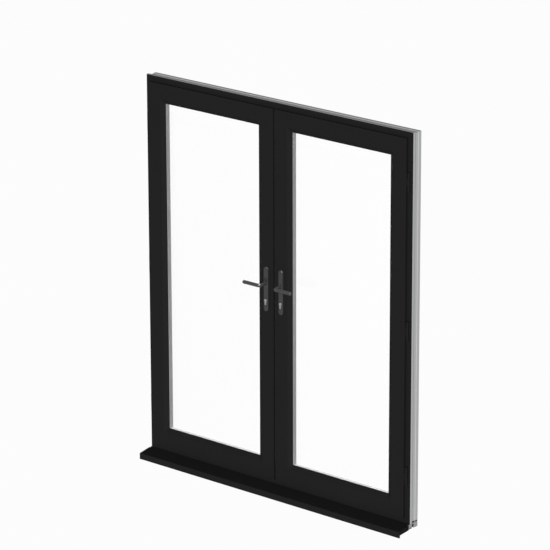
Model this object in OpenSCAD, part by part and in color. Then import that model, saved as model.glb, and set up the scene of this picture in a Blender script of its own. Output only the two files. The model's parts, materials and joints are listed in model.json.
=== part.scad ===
// Pair of outward-opening glazed french doors in their frame, on a projecting cill.
// X runs right as seen from outside, Y runs in to the room and Z runs up.
// The origin is on the cill's seat, at mid width, in the plane of the frame's outer face.

/* [Outer frame] */
// Width of the outer frame
frame_w = 1790; // [1500:10:2200]
// Height of the outer frame above the cill
frame_h = 2100; // [1950:10:2300]
// Depth of the outer frame, from outside to the room
frame_depth = 70; // [68:1:80]
// Width of the frame's face that shows around the leaves
frame_face = 30; // [28:1:40]
// How far the lip of a leaf laps over the frame's face
lip_overlap = 10; // [8:1:12]
// How far the room-side stop stands out from the frame's web
stop_h = 20; // [16:1:26]
// Outer wall of every hollow profile
profile_wall = 2.8; // [2.2:0.1:3.2]
// Inner webs of every hollow profile
profile_web = 2; // [1.5:0.1:2.4]
// Depth of the front land on the frame's outer side
land_w = 16; // [13:0.5:20]
// Depth of the fixing channel cut in to the frame's outer side
channel_d = 6; // [4:0.5:8]
// Width of the fixing channel
channel_w = 32; // [28:1:34]
// Step in of the outer side behind the fixing channel
rear_step = 4; // [2:0.5:5]
// Radius on the corners of the frame's and the leaves' profiles
edge_r = 1.5; // [0.5:0.25:2]

/* [Leaves] */
// How far the closed leaves stand proud of the frame's face
leaf_proud = 21; // [18:0.5:23]
// Depth of the leaf's profiles
sash_depth = 64; // [60:1:68]
// Flat part of the leaf's face on every member
sash_flat = 84; // [72:1:90]
// Width of the sloped glazing bevel
bevel_w = 24; // [20:1:34]
// Fall of the glazing bevel
bevel_d = 15; // [11:0.5:16]
// Thickness of the lip that laps over the frame
sash_lip = 14; // [12:0.5:16]
// Clearance between the leaf's body and the frame's web
edge_clear = 4; // [3.5:0.25:6]
// Gap between the two leaves
meeting_gap = 10.5; // [9:0.5:13]
// Clearance left between the meeting profile and the other leaf
meeting_clear = 3; // [2.5:0.25:4]
// Free gap left at a seal that another piece closes on
seal_gap = 0.3; // [0.2:0.05:0.5]
// Width of the weather seal under the lip
seal_w = 5; // [4:0.5:6]

/* [Glazing] */
// Thickness of one pane
pane_t = 4; // [4:0.5:5]
// Cavity between the two panes
cavity_t = 20; // [18:1:21]
// Thickness of the glazing lip at the edge of the bevel
glazing_lip = 6.5; // [5:0.5:8]
// Height of the glazing rebate
rebate_h = 22; // [20:1:24]
// Gap between the edge of the glass and the rebate
glass_gap = 5; // [4:0.5:6]
// Height of the spacer bar between the panes
spacer_h = 10; // [8:0.5:12]
// Thickness of the outer glazing gasket
outer_gasket = 3; // [2:0.5:3.5]
// Thickness of the inner glazing gasket
inner_gasket = 2.5; // [2:0.25:3]
// Height of the glazing bead above the rebate's floor
bead_h = 11; // [10:0.5:15]
// Open joint at the mitres of the glazing beads
bead_joint = 0.1; // [0.05:0.05:0.3]
// Chamfer on the room-side corner of the glazing bead
bead_chamfer = 3; // [2:0.5:4]
// Length of one setting block under the glass
block_len = 100; // [60:5:140]

/* [Cill] */
// Height of the cill under the frame
cill_h = 28; // [26:1:34]
// Projection of the cill in front of the frame
cill_projection = 94; // [70:1:130]
// Depth of the cill under the frame
cill_seat_d = 63; // [56:1:68]
// Fall of the cill's top towards its nose
cill_fall = 14.5; // [10:0.5:17]
// Height of the cill's nose
nose_h = 34; // [30:1:44]
// Thickness of the drip lip at the bottom of the nose
nose_lip = 6; // [5:0.5:8]
// Radius on the upper corner of the nose
nose_r = 2.5; // [1:0.5:4]
// Fall of the cill's underside towards its nose
underside_fall = 7; // [5:0.5:8]
// Thickness of the end caps
cap_t = 4; // [3:0.5:6]
// Depth of the bracket slot along the cill's underside
cill_slot_d = 12; // [8:0.5:14]
// Width of the bracket slot
cill_slot_w = 14; // [10:0.5:18]
// Front edge of the bracket slot, back from the frame's face
cill_slot_y = 16; // [12:0.5:20]

/* [Handles] */
// Height of the levers above the bottom of the frame
lever_height = 1118; // [950:1:1150]
// Distance from the leaf's meeting edge body to the lever's axis
backset = 31; // [28:0.5:35]
// Width of the backplates
plate_w = 29; // [26:0.5:32]
// Height of the backplates
plate_h = 245; // [230:1:260]
// Thickness of the backplates
plate_t = 9; // [7:0.5:12]
// Radius on the front edge of the backplates
plate_round = 3; // [1:0.5:4]
// Lever axis below the top of the backplate
plate_top = 92; // [70:1:100]
// Cylinder below the lever's axis
cylinder_below = 93; // [85:1:96]
// Diameter of the lever's bar
lever_d = 19.5; // [16:0.5:22]
// Length of the lever from its axis to its tip
lever_len = 111; // [95:1:130]
// Radius on the rim of the lever's tip
tip_round = 3; // [1:0.5:5]
// Distance from the leaf's face to the centre line of the lever's bar
lever_reach = 58; // [48:1:66]
// Centre-line radius of the lever's bend
bend_r = 14; // [11:0.5:18]
// Diameter of the lever's neck
neck_d = 19; // [14:0.5:20]
// Width of the room-side turn's grip
turn_w = 18; // [14:0.5:20]
// Height of the room-side turn's grip
turn_h = 44; // [36:1:52]
// Thickness of the room-side turn's grip
turn_t = 17; // [12:0.5:20]
// Radius on the front edge of the room-side turn's grip
turn_round = 4; // [2:0.5:6]
// Distance from the leaf's room-side face to the front of the turn
turn_reach = 36; // [32:1:44]
// Side of the square spindle
spindle_w = 8; // [7:0.5:9]
// How far the spindle reaches in to the lever and the turn
spindle_grip = 20; // [15:1:24]
// How far the lock cylinder stands out of each backplate
cylinder_proud = 3; // [2:0.5:5]

/* [Lock and bolts] */
// Distance from the leaf's face to the middle plane of the lock
lock_back = 33; // [31:0.5:36]
// Width of the lock's faceplate
faceplate_w = 16; // [14:0.5:18]
// Thickness of the lock's faceplate
faceplate_t = 3; // [2.5:0.25:3.5]
// Thickness of the lock case
case_t = 15; // [14:0.5:16]
// Lock case above the lever's axis
case_up = 52; // [48:1:60]
// Lock case below the lever's axis
case_down = 135; // [130:1:150]
// Lock case beyond the lever's axis
case_past = 12; // [11:0.5:14]
// Diameter of the bolt tips
bolt_d = 12; // [10:0.5:13]
// Diameter of the bolt rods
rod_d = 8; // [6:0.5:9]
// Length of the bolt tips
bolt_tip = 45; // [40:1:60]
// Bolt axis from the meeting edge of the leaf's body
bolt_inset = 13; // [11.5:0.5:15]
// Travel of the bolts to each side of rest
bolt_throw = 16; // [12:1:18]
// Running clearance of the bolts in their guides, on the radius
bolt_fit = 0.1; // [0.05:0.01:0.1]
// Thickness of the bolt keeps
keep_t = 2; // [1.5:0.25:2.5]
// Length of the bolt keeps
keep_len = 50; // [40:1:58]

/* [Hinges] */
// Height of one hinge
hinge_h = 100; // [80:1:130]
// Distance from the ends of the leaf to the middle of the end hinges
hinge_inset = 230; // [180:5:320]
// Hinges on each leaf
hinge_count = 3; // [2:1:4]
// Radius of the knuckles
knuckle_r = 6.5; // [6:0.25:7.5]
// Radius of the hinge pins
hinge_pin_r = 3.5; // [3:0.25:4]
// Thickness of the hinge plates
hinge_plate = 2.5; // [2:0.25:3]
// Gap between the hinge's moving pieces
hinge_gap = 0.5; // [0.4:0.05:0.8]
// Running clearance of the hinge pins, on the radius
pin_fit = 0.05; // [0.02:0.01:0.1]

/* [Hidden] */
$fn = 48;
// Sides of a rectangle of profiles
LEFT = 0;
RIGHT = 1;
BOTTOM = 2;
TOP = 3;
SIDES = [LEFT, RIGHT, BOTTOM, TOP];
// Overshoot of a cutting shape past the face that it cuts
over = 1;

// Outer frame
web_w = frame_face + lip_overlap;
frame_reach = web_w + stop_h;
channel_end = land_w + channel_w;
frame_x0 = -frame_w / 2;
frame_top = cill_h + frame_h;

// Leaves, measured in from the edge of the lip and back from the frame's face
leaf_x0 = frame_x0 + frame_face;
leaf_z0 = cill_h + frame_face;
leaf_w = frame_w / 2 - frame_face - meeting_gap / 2;
leaf_h = frame_h - 2 * frame_face;
face_y = -leaf_proud;
back_y = face_y + sash_depth;
lip_y = face_y + sash_lip;
body_u = lip_overlap + edge_clear;
sash_w = sash_flat + bevel_w;
floor_u = sash_w - rebate_h;
glaze_y = face_y + bevel_d + glazing_lip;
stop_gasket = 4;
stop_y = back_y + stop_gasket;

// Lock and handles
lock_y = face_y + lock_back;
groove_u = body_u + faceplate_t;
groove_fit = 0.3;
handle_u = body_u + backset;
case_end_u = handle_u + case_past;
room_u = case_end_u + profile_web;
handle_x = leaf_w - handle_u;
handle_z = lever_height - frame_face;
case_bottom = handle_z - case_down;
case_top = handle_z + case_up;
bolt_u = body_u + bolt_inset;
bolt_x = leaf_w - bolt_u;
rod_engage = 14;
rod_spare = 4;
rod_grip = bolt_throw + rod_engage;
rod_bore = rod_grip + bolt_throw + rod_spare;
// The bolt tips rest just inside the edge of the leaf's body
bolt_rest = body_u + 1;
keep_hole_r = bolt_d / 2 + 1;
spindle_hole_r = spindle_w * 0.75;
// Lock cylinder: round body, narrow tail and key slot
euro_r = 8.5;
euro_tail_r = 5;
euro_tail = 19.5;
key_slot_w = 2;
key_slot_h = 9;
key_slot_d = 6;

// Glass unit
glass_y = glaze_y + outer_gasket;
inner_pane_y = glass_y + pane_t + cavity_t;
glass_back = inner_pane_y + pane_t;
glass_u = floor_u + glass_gap;
glass_w = leaf_w - 2 * glass_u;
glass_h = leaf_h - 2 * glass_u;
bead_y = glass_back + inner_gasket;
bead_foot_w = 3;
bead_foot_d = 2.5;
bead_foot_y = bead_y + 2;
// Room for the bead's slot in the rebate's floor
steel_end_u = floor_u - bead_foot_d - profile_wall;

// Steel bars in the profiles
steel_t = 1.5;
steel_fit = 0.3;

// Hinges
hinge_off = hinge_plate + hinge_gap + knuckle_r;
hinge_y = -hinge_off;
hinge_third = hinge_h * 0.3;
hinge_edge = 1;
hinge_pitch = (leaf_h - 2 * hinge_inset) / (hinge_count - 1);
hinge_z = [for (i = [0 : hinge_count - 1]) hinge_inset + i * hinge_pitch - hinge_h / 2];
pin_head_r = knuckle_r - 1;
pin_head_t = 2.5;

black = [0.12, 0.12, 0.125];
grey = [0.74, 0.75, 0.76];
rubber = [0.05, 0.05, 0.05];
steel = [0.62, 0.64, 0.66];
handle_grey = [0.27, 0.27, 0.28];
glass = [0.80, 0.88, 0.90, 0.35];

// Rectangles of mitred profiles

// Length of one member in a rectangle of profiles
function member_len(side, wd, ht) = side == LEFT || side == RIGHT ? ht : wd;

// Puts a member that is drawn as the left upright on one side of a rectangle
module place_member(side, wd, ht) {
    if (side == LEFT) {
        children();
    } else if (side == RIGHT) {
        translate([wd, 0, 0]) mirror([1, 0, 0]) children();
    } else if (side == BOTTOM) {
        mirror([1, 0, -1]) children();
    } else {
        translate([0, 0, ht]) mirror([0, 0, 1]) mirror([1, 0, -1]) children();
    }
}

// Extrudes a section, drawn in from the corner's edge, with a mitre at both ends, cut short by a gap
module mitred(side, wd, ht, reach = sash_w, gap = 0) {
    len = member_len(side, wd, ht);
    span = leaf_proud + frame_depth + 2 * over;
    place_member(side, wd, ht) intersection() {
        translate([0, 0, -over]) linear_extrude(len + 2 * over) children();
        translate([0, frame_depth + over, 0]) rotate([90, 0, 0]) linear_extrude(span) polygon([
            [-over, gap - over],
            [reach + over, reach + over + gap],
            [reach + over, len - reach - over - gap],
            [-over, len + over - gap]
        ]);
    }
}

// Extrudes a section square-cut, clear of the mitres at both ends
module square_cut(side, wd, ht, reach) {
    len = member_len(side, wd, ht);
    place_member(side, wd, ht) translate([0, 0, reach]) linear_extrude(len - 2 * reach) children();
}

// Draws a rectangle from one corner to the other
module span2(u0, y0, u1, y1) {
    translate([u0, y0]) square([u1 - u0, y1 - y0]);
}

// Draws a box from one corner to the other
module span3(low, high) {
    translate(low) cube(high - low);
}

// Closed ring of one section around a rectangle, with square corners
module ring(wd, ht, u0, y0, u1, y1) {
    difference() {
        span3([u0, y0, u0], [wd - u0, y1, ht - u0]);
        span3([u1, y0 - over, u1], [wd - u1, y1 + over, ht - u1]);
    }
}

// What is cut away to round a section's square corner, which points the way that turn gives
module round_corner(at, r, turn) {
    translate([at[0] - turn[0] * r, at[1] - turn[1] * r])
        mirror([turn[0] < 0 ? 1 : 0, 0]) mirror([0, turn[1] < 0 ? 1 : 0]) difference() {
            square(r + over);
            circle(r = r);
        }
}

// Outer frame

module frame_place() {
    translate([frame_x0, 0, cill_h]) children();
}

// Outline of the frame's section, with the stop on the room side
module frame_outline() {
    difference() {
        union() {
            span2(0, 0, web_w, frame_depth);
            span2(web_w - over, stop_y, frame_reach, frame_depth);
        }
        span2(-over, land_w, channel_d, channel_end);
        span2(-over, channel_end, rear_step, frame_depth + over);
        round_corner([0, 0], edge_r, [-1, -1]);
        round_corner([frame_reach, stop_y], edge_r, [1, -1]);
        round_corner([frame_reach, frame_depth], edge_r, [1, 1]);
        round_corner([rear_step, frame_depth], edge_r, [-1, 1]);
    }
}

// The chamber that holds the frame's steel
module frame_steel_chamber(inset = 0) {
    span2(channel_d + profile_wall + inset, land_w + inset,
          web_w - profile_wall - inset, stop_y - profile_web - inset);
}

module frame_section() {
    difference() {
        frame_outline();
        span2(profile_wall, profile_wall, web_w - profile_wall, land_w - profile_web);
        frame_steel_chamber();
        span2(channel_d + profile_wall, stop_y, web_w - profile_wall, frame_depth - profile_wall);
        span2(web_w - profile_wall + profile_web, stop_y + profile_wall,
              frame_reach - profile_wall, frame_depth - profile_wall);
    }
}

// Clearance holes for the four bolts, through the head and the bottom rail
module bolt_holes() {
    for (m = [0, 1]) mirror([m, 0, 0]) translate([leaf_x0 + bolt_x, lock_y, 0]) {
        translate([0, 0, cill_h + channel_d + over]) cylinder(r = keep_hole_r, h = web_w);
        translate([0, 0, frame_top - channel_d - over - web_w]) cylinder(r = keep_hole_r, h = web_w);
    }
}

module frame_member(side) {
    color(black) difference() {
        frame_place() mitred(side, frame_w, frame_h, frame_reach) frame_section();
        if (side == TOP || side == BOTTOM) bolt_holes();
    }
}

// Galvanised box bars in the frame's main chamber
module frame_steels() {
    color(steel) difference() {
        frame_place() for (side = SIDES) square_cut(side, frame_w, frame_h, frame_reach) difference() {
            frame_steel_chamber(steel_fit);
            frame_steel_chamber(steel_fit + steel_t);
        }
        bolt_holes();
    }
}

// Rebate gasket on the front of the stop, which the closed leaves press on
module frame_gasket() {
    low_u = web_w + edge_clear + 2;
    color(rubber) frame_place()
        ring(frame_w, frame_h, low_u, back_y + seal_gap, low_u + seal_w, stop_y);
}

// Steel plates on the head and the bottom rail that the bolts shoot through
module bolt_keeps() {
    wide = faceplate_w + 4;
    plate_x = leaf_x0 + bolt_x - keep_len / 2;
    color(steel) difference() {
        for (m = [0, 1]) mirror([m, 0, 0]) for (z = [cill_h + web_w, frame_top - web_w - keep_t])
            translate([plate_x, lock_y - wide / 2, z]) cube([keep_len, wide, keep_t]);
        bolt_holes();
    }
}

// Cill

// Height of the cill's sloped top at a depth in front of the frame
function cill_top(y) = cill_h + cill_fall * y / cill_projection;
// Height of the cill's underside, which is level behind the front of its seat
seat_front = -15;
function cill_under(y) = underside_fall * (y - seat_front) / (cill_projection + seat_front);

module cill_front_outline() {
    nose_y = -cill_projection;
    nose_z = cill_top(nose_y);
    difference() {
        polygon([
            [0, 0],
            [0, cill_h],
            [nose_y, nose_z],
            [nose_y, nose_z - nose_h],
            [nose_y + nose_lip, nose_z - nose_h],
            [nose_y + nose_lip, cill_under(nose_y + nose_lip)],
            [seat_front, 0]
        ]);
        round_corner([nose_y, cill_top(nose_y + nose_r)], nose_r, [-1, 1]);
    }
}

// Outline of the whole cill, with the bracket slot on its underside
module cill_outline() {
    difference() {
        union() {
            cill_front_outline();
            span2(-over, 0, cill_seat_d, cill_h);
        }
        span2(cill_slot_y, -over, cill_slot_y + cill_slot_w, cill_slot_d);
        round_corner([cill_seat_d, 0], edge_r, [1, -1]);
    }
}

// One chamber of the front part, between two depths
module cill_chamber(y0, y1) {
    polygon([
        [y0, cill_under(y0) + profile_wall],
        [y1, cill_under(y1) + profile_wall],
        [y1, cill_top(y1) - profile_wall],
        [y0, cill_top(y0) - profile_wall]
    ]);
}

module cill_section() {
    front_y = -cill_projection + nose_lip;
    chamber_w = (seat_front - front_y - 2 * profile_web) / 2;
    slot_end = cill_slot_y + cill_slot_w;
    roof = cill_h - profile_wall;
    difference() {
        cill_outline();
        cill_chamber(front_y, front_y + chamber_w);
        cill_chamber(front_y + chamber_w + profile_web, seat_front - profile_web);
        polygon([
            [seat_front, profile_wall],
            [cill_slot_y - profile_wall, profile_wall],
            [cill_slot_y - profile_wall, roof],
            [0, roof],
            [seat_front, cill_top(seat_front) - profile_wall]
        ]);
        span2(cill_slot_y, cill_slot_d + profile_wall, slot_end, roof);
        span2(slot_end + profile_wall, profile_wall, cill_seat_d - profile_wall, roof);
    }
}

// Turns a section drawn in depth and height so that it runs along the width
module along_width(x, len) {
    translate([x, 0, 0]) rotate([90, 0, 90]) linear_extrude(len) children();
}

module cill() {
    color(black) along_width(frame_x0 + cap_t, frame_w - 2 * cap_t) cill_section();
}

// Caps that close the ends of the cill, flush under the frame and proud of it at the front
module cill_end_caps() {
    color(black) for (m = [0, 1]) mirror([m, 0, 0]) {
        along_width(frame_x0, cap_t) cill_outline();
        along_width(frame_x0 - cap_t, cap_t) intersection() {
            cill_front_outline();
            span2(-cill_projection - over, -nose_h, seat_front, cill_h);
        }
    }
}

// Leaves, drawn as the left one from its hinge edge to its meeting edge

module leaf_place(right) {
    mirror([right ? 1 : 0, 0, 0]) translate([leaf_x0, 0, leaf_z0]) children();
}

// Outline of the leaf's section, with its lips, lock groove and glazing rebate
module sash_outline() {
    groove_w = faceplate_w + 2 * groove_fit;
    difference() {
        polygon([
            [0, face_y],
            [sash_flat, face_y],
            [sash_w, face_y + bevel_d],
            [sash_w, glaze_y],
            [floor_u, glaze_y],
            [floor_u, back_y],
            [body_u, back_y],
            [body_u, lip_y],
            [0, lip_y]
        ]);
        span2(body_u - over, lock_y - groove_w / 2, groove_u, lock_y + groove_w / 2);
        span2(floor_u - bead_foot_d, bead_foot_y, floor_u + over, bead_foot_y + bead_foot_w);
        round_corner([0, face_y], edge_r, [-1, -1]);
        round_corner([0, lip_y], edge_r, [-1, 1]);
        round_corner([body_u, back_y], edge_r, [-1, 1]);
    }
}

// The chamber that holds the leaf's steel
module sash_steel_chamber(inset = 0) {
    span2(room_u + profile_web + inset, lip_y + profile_web + inset,
          steel_end_u - inset, back_y - profile_wall - inset);
}

module sash_section() {
    // The chamber behind the bevel keeps a full wall along the slope
    slope = bevel_d / bevel_w;
    slope_wall = profile_wall * sqrt(1 + slope * slope);
    bevel_u0 = sash_flat + profile_wall;
    bevel_u1 = sash_w - 2 * profile_wall;
    bevel_in = face_y + slope_wall - sash_flat * slope;
    difference() {
        sash_outline();
        span2(profile_wall, face_y + profile_wall, sash_flat - profile_wall, lip_y - profile_wall);
        polygon([
            [bevel_u0, bevel_in + bevel_u0 * slope],
            [bevel_u1, bevel_in + bevel_u1 * slope],
            [bevel_u1, glaze_y - profile_wall],
            [bevel_u0, glaze_y - profile_wall]
        ]);
        span2(groove_u + profile_wall, lip_y + profile_web, room_u, back_y - profile_wall);
        sash_steel_chamber();
    }
}

// Outline of a euro lock cylinder, round above with a narrow tail below
module euro_outline(grow = 0) {
    tail_r = euro_tail_r + grow;
    circle(r = euro_r + grow);
    translate([-tail_r, -euro_tail]) square([2 * tail_r, euro_tail]);
    translate([0, -euro_tail]) circle(r = tail_r);
}

// Turns an outline drawn in width and height so that it runs from one depth to another
module through(y0, y1) {
    translate([0, y1, 0]) rotate([90, 0, 0]) linear_extrude(y1 - y0) children();
}

// Holes through the lock stile for the lever's neck, the lock cylinder and the lock case
module lock_cuts() {
    cut_fit = 1;
    translate([handle_x, 0, handle_z]) through(face_y - over, back_y + over) {
        circle(r = spindle_hole_r + cut_fit);
        translate([0, -cylinder_below]) euro_outline(cut_fit);
    }
    span3([leaf_w - case_end_u, lock_y - case_t / 2 - groove_fit, case_bottom - groove_fit],
          [leaf_w - groove_u + over, lock_y + case_t / 2 + groove_fit, case_top + groove_fit]);
}

// Guide holes for the bolts, through the leaf's top and bottom edges
module bolt_guides() {
    for (z = [body_u - over, leaf_h - bolt_u - bolt_d])
        translate([bolt_x, lock_y, z]) cylinder(r = bolt_d / 2 + bolt_fit, h = bolt_inset + bolt_d + over);
}

module sash_member(right, side) {
    color(black) leaf_place(right) difference() {
        mitred(side, leaf_w, leaf_h) sash_section();
        if (side == RIGHT) lock_cuts();
        if (side != LEFT) bolt_guides();
    }
}

// Galvanised box bars beside the glazing rebate
module sash_steels(right) {
    color(steel) leaf_place(right) for (side = SIDES) square_cut(side, leaf_w, leaf_h, sash_w) difference() {
        sash_steel_chamber(steel_fit);
        sash_steel_chamber(steel_fit + steel_t);
    }
}

// Weather seal behind the lip, which closes on the frame's face
module weather_seal(right) {
    seal_u = (lip_overlap - seal_w) / 2;
    inner_u = seal_u + seal_w;
    end_x = leaf_w - body_u;
    color(rubber) leaf_place(right) difference() {
        span3([seal_u, lip_y, seal_u], [end_x, -seal_gap, leaf_h - seal_u]);
        span3([inner_u, lip_y - over, inner_u], [end_x + over, over, leaf_h - inner_u]);
    }
}

// Glass unit

module pane(right, y) {
    color(glass) leaf_place(right) translate([glass_u, y, glass_u]) cube([glass_w, pane_t, glass_h]);
}

module spacer_bar(right) {
    color(grey) leaf_place(right)
        ring(leaf_w, leaf_h, glass_u, glass_y + pane_t, glass_u + spacer_h, inner_pane_y);
}

// Packers that carry the glass unit on the rebate's floor
module setting_blocks(right) {
    color(rubber) leaf_place(right) for (x = [glass_u + block_len / 2, leaf_w - glass_u - 1.5 * block_len])
        span3([x, glass_y, floor_u], [x + block_len, glass_back, glass_u]);
}

// Gaskets that hold the glass unit between the glazing lip and the beads
module glazing_gaskets(right) {
    show = 0.5;
    color(rubber) leaf_place(right) {
        ring(leaf_w, leaf_h, glass_u, glaze_y, sash_w - show, glass_y);
        ring(leaf_w, leaf_h, glass_u, glass_back, floor_u + bead_h - show, bead_y);
    }
}

// Beads on the room side, each with a foot in the slot of the rebate's floor
module glazing_beads(right) {
    bead_u = floor_u + bead_h;
    color(grey) leaf_place(right) for (side = SIDES) mitred(side, leaf_w, leaf_h, gap = bead_joint) {
        polygon([
            [floor_u, bead_y],
            [bead_u, bead_y],
            [bead_u, back_y - bead_chamfer],
            [bead_u - bead_chamfer, back_y],
            [floor_u, back_y]
        ]);
        span2(floor_u - bead_foot_d, bead_foot_y, floor_u + over, bead_foot_y + bead_foot_w);
    }
}

// Lock and bolts

module lock_case(right) {
    color(steel) leaf_place(right) difference() {
        span3([leaf_w - case_end_u, lock_y - case_t / 2, case_bottom],
              [leaf_w - groove_u, lock_y + case_t / 2, case_top]);
        translate([handle_x, 0, handle_z]) through(lock_y - case_t, lock_y + case_t) {
            circle(r = spindle_hole_r);
            translate([0, -cylinder_below]) euro_outline(groove_fit);
        }
        for (z = [case_bottom - over, case_top - rod_bore])
            translate([bolt_x, lock_y, z]) cylinder(r = rod_d / 2 + bolt_fit, h = rod_bore + over);
    }
}

// Long plate that closes the lock groove of the meeting edge
module lock_faceplate(right) {
    color(steel) leaf_place(right)
        span3([leaf_w - groove_u, lock_y - faceplate_w / 2, bolt_u + bolt_d],
              [leaf_w - body_u, lock_y + faceplate_w / 2, leaf_h - bolt_u - bolt_d]);
}

// Lock cylinder through both backplates, with a key slot at both ends
module lock_cylinder(right) {
    reach = plate_t + cylinder_proud;
    color(steel) leaf_place(right) translate([handle_x, 0, handle_z - cylinder_below]) difference() {
        through(face_y - reach, back_y + reach) euro_outline();
        for (y = [face_y - reach - over, back_y + reach - key_slot_d])
            through(y, y + key_slot_d + over) square([key_slot_w, key_slot_h], center = true);
    }
}

// A bolt at the top of the leaf: a rod out of the lock case that ends in a stout tip
module bolt_shape(from, to) {
    translate([bolt_x, lock_y, from]) cylinder(d = rod_d, h = to - from);
    translate([bolt_x, lock_y, to - bolt_tip]) cylinder(d = bolt_d, h = bolt_tip);
}

module top_bolt(right) {
    color(steel) leaf_place(right) bolt_shape(case_top - rod_grip, leaf_h - bolt_rest);
}

module bottom_bolt(right) {
    color(steel) leaf_place(right) mirror([0, 0, 1]) bolt_shape(-case_bottom - rod_grip, -bolt_rest);
}

// Hollow strip on the right leaf's meeting edge that closes the gap behind the lips
module meeting_profile() {
    strip_u = meeting_clear - meeting_gap;
    wall = profile_wall;
    color(black) leaf_place(true) translate([leaf_w, 0, body_u]) linear_extrude(leaf_h - 2 * body_u)
        mirror([1, 0]) difference() {
            span2(strip_u, lip_y, body_u, back_y);
            span2(strip_u + wall, lip_y + wall, body_u - wall, lock_y - profile_web / 2);
            span2(strip_u + wall, lock_y + profile_web / 2, body_u - wall, back_y - wall);
        }
}

// Handles

// Section of a flat bar across its width, with its front edges rounded
module bar_section(wide, thick, r) {
    difference() {
        translate([-wide / 2, 0]) square([wide, thick]);
        for (side = [-1, 1]) round_corner([side * wide / 2, thick], r, [side, 1]);
    }
}

// Half-round end of a flat bar
module bar_end(wide, thick, r) {
    rotate_extrude(angle = 180) intersection() {
        bar_section(wide, thick, r);
        square([wide, thick]);
    }
}

// Upright flat bar with half-round ends, its rounded edge towards the viewer and its top at a height
module flat_bar(wide, high, thick, r, top) {
    run = high - wide;
    rotate([90, 0, 0]) translate([0, top - wide / 2, 0]) {
        bar_end(wide, thick, r);
        rotate([90, 0, 0]) linear_extrude(run) bar_section(wide, thick, r);
        translate([0, -run, 0]) rotate(180) bar_end(wide, thick, r);
    }
}

// Backplate lying on the leaf's face
module backplate() {
    difference() {
        flat_bar(plate_w, plate_h, plate_t, plate_round, plate_top);
        through(-plate_t - over, over) {
            circle(r = neck_d / 2 + bolt_fit);
            translate([0, -cylinder_below]) euro_outline(groove_fit);
        }
    }
}

// Puts a handle piece on the outer or the room-side face of the leaf
module handle_place(right, inside) {
    leaf_place(right) translate([handle_x, inside ? back_y : face_y, handle_z])
        mirror([0, inside ? 1 : 0, 0]) children();
}

module handle_backplate(right, inside) {
    color(handle_grey) handle_place(right, inside) backplate();
}

// Flat tip of the lever's bar, with a rounded rim
module lever_tip() {
    rotate_extrude() difference() {
        square([lever_d / 2, tip_round]);
        round_corner([lever_d / 2, tip_round], tip_round, [1, 1]);
    }
}

// Neck that turns in the backplate and takes the spindle, with a collar in front of the plate
module handle_neck(reach) {
    collar_t = 4;
    collar_grow = 4;
    through(-reach, -seal_gap) circle(d = neck_d);
    through(-plate_t - seal_gap - collar_t, -plate_t - seal_gap) circle(d = neck_d + collar_grow);
}

module spindle_socket() {
    through(-seal_gap - spindle_grip, over) square(spindle_w, center = true);
}

// Lever on the outside: neck, bend, then a bar that points to the hinges
module outer_lever(right) {
    bar_len = lever_len - bend_r - tip_round;
    neck_end = lever_reach - bend_r;
    color(handle_grey) handle_place(right, false) difference() {
        union() {
            handle_neck(neck_end);
            translate([-bend_r, -neck_end, 0]) rotate([0, 0, -90]) rotate_extrude(angle = 90)
                translate([bend_r, 0]) circle(d = neck_d);
            translate([-bend_r, -lever_reach, 0]) rotate([0, -90, 0]) {
                cylinder(d1 = neck_d, d2 = lever_d, h = bar_len);
                translate([0, 0, bar_len]) lever_tip();
            }
        }
        spindle_socket();
    }
}

// Turn on the room side: neck and an upright grip
module inner_turn(right) {
    grip_y = turn_reach - turn_t;
    color(handle_grey) handle_place(right, true) difference() {
        union() {
            handle_neck(grip_y + turn_t / 2);
            translate([0, -grip_y, 0]) flat_bar(turn_w, turn_h, turn_t, turn_round, turn_h / 2);
        }
        spindle_socket();
    }
}

// Square bar that joins the lever and the turn through the lock case
module spindle(right) {
    reach = seal_gap + spindle_grip;
    color(steel) leaf_place(right) translate([handle_x, 0, handle_z])
        through(face_y - reach, back_y + reach) square(spindle_w, center = true);
}

// Hinges

// Repeats a hinge piece up the hinge edge of a leaf
module at_hinges(right) {
    leaf_place(right) for (z = hinge_z) translate([0, 0, z]) children();
}

module knuckle(low, high) {
    translate([-hinge_off, hinge_y, low]) cylinder(r = knuckle_r, h = high - low);
}

module pin_bore() {
    translate([-hinge_off, hinge_y, -over]) cylinder(r = hinge_pin_r + pin_fit, h = hinge_h + 2 * over);
}

// Plate on the frame's face with the two outer knuckles
module frame_hinge_leaves() {
    plate_end = frame_face - hinge_plate;
    color(black) for (right = [false, true]) at_hinges(right) difference() {
        union() {
            span3([-plate_end, -hinge_plate, 0], [-hinge_off, 0, hinge_h]);
            for (low = [0, hinge_h - hinge_third]) {
                knuckle(low, low + hinge_third);
                span3([-hinge_off - knuckle_r, hinge_y, low], [-hinge_off, -over, low + hinge_third]);
            }
        }
        pin_bore();
    }
}

// Plate on the edge of the leaf's lip with the middle knuckle
module sash_hinges(right) {
    low = hinge_third + hinge_gap;
    high = hinge_h - hinge_third - hinge_gap;
    color(black) at_hinges(right) difference() {
        union() {
            span3([-hinge_plate, face_y + hinge_edge, 0], [0, lip_y - hinge_edge, hinge_h]);
            knuckle(low, high);
            span3([-hinge_off, hinge_y - knuckle_r, low], [-over, hinge_y, high]);
        }
        pin_bore();
    }
}

module hinge_pins() {
    color(steel) for (right = [false, true]) at_hinges(right) translate([-hinge_off, hinge_y, 0]) {
        cylinder(r = hinge_pin_r, h = hinge_h);
        for (z = [-pin_head_t, hinge_h]) translate([0, 0, z]) cylinder(r = pin_head_r, h = pin_head_t);
    }
}

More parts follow.
